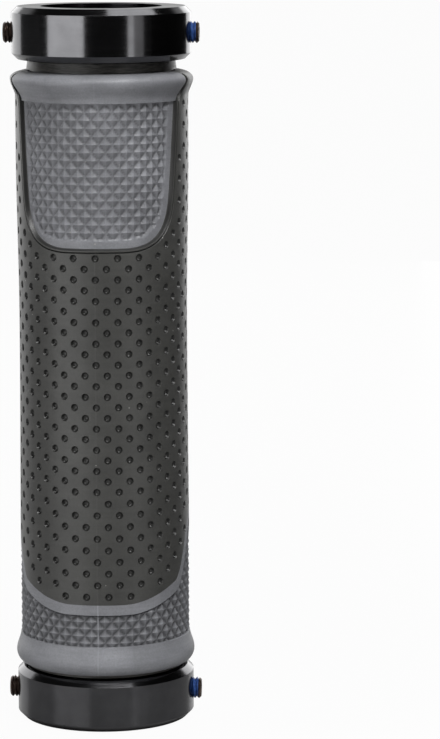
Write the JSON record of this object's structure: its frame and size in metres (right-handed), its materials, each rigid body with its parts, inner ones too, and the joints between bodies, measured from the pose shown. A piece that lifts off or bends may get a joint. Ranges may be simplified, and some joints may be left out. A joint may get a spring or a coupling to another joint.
{
  "type": "handlebar grip",
  "caption": "Lock-on handlebar grip: knurled and dimpled black and grey rubber on a hard sleeve, clamped to the bar at both ends by rings with set screws.",
  "frame": {"origin": "on the grip's axis, in the plane of the lower clamp ring's end face", "axes": "+Z along the axis towards the upper clamp ring, -Y towards the front with the parting line, +X towards the right-hand set screws"},
  "size_m": [0.036, 0.0336, 0.1326],
  "materials": {
    "black_rubber": "moulded, matt",
    "grey_rubber": "moulded, matt",
    "sleeve_plastic": "moulded, satin",
    "ring_aluminium": "turned, black anodised, glossy",
    "screw_steel": "black oxide"
  },
  "bodies": {
    "grip": {"core_sleeve": "sleeve_plastic", "black_rubber_body": "black_rubber", "front_grey_panel": "grey_rubber", "back_grey_panel": "grey_rubber", "grey_end_skirt": "grey_rubber", "lower_clamp_ring": "ring_aluminium", "upper_clamp_ring": "ring_aluminium"},
    "lower_left_screw": {"lower_left_set_screw": "screw_steel"},
    "lower_right_screw": {"lower_right_set_screw": "screw_steel"},
    "upper_left_screw": {"upper_left_set_screw": "screw_steel"},
    "upper_right_screw": {"upper_right_set_screw": "screw_steel"}
  },
  "joints": [
    {"name": "lower_left_screw_travel", "type": "slide", "parent": "grip", "child": "lower_left_screw", "axis": [1, 0, 0], "range_m": [0, 0.0019]},
    {"name": "lower_right_screw_travel", "type": "slide", "parent": "grip", "child": "lower_right_screw", "axis": [-1, 0, 0], "range_m": [0, 0.0019]},
    {"name": "upper_left_screw_travel", "type": "slide", "parent": "grip", "child": "upper_left_screw", "axis": [1, 0, 0], "range_m": [0, 0.0019]},
    {"name": "upper_right_screw_travel", "type": "slide", "parent": "grip", "child": "upper_right_screw", "axis": [-1, 0, 0], "range_m": [0, 0.0019]}
  ]
}
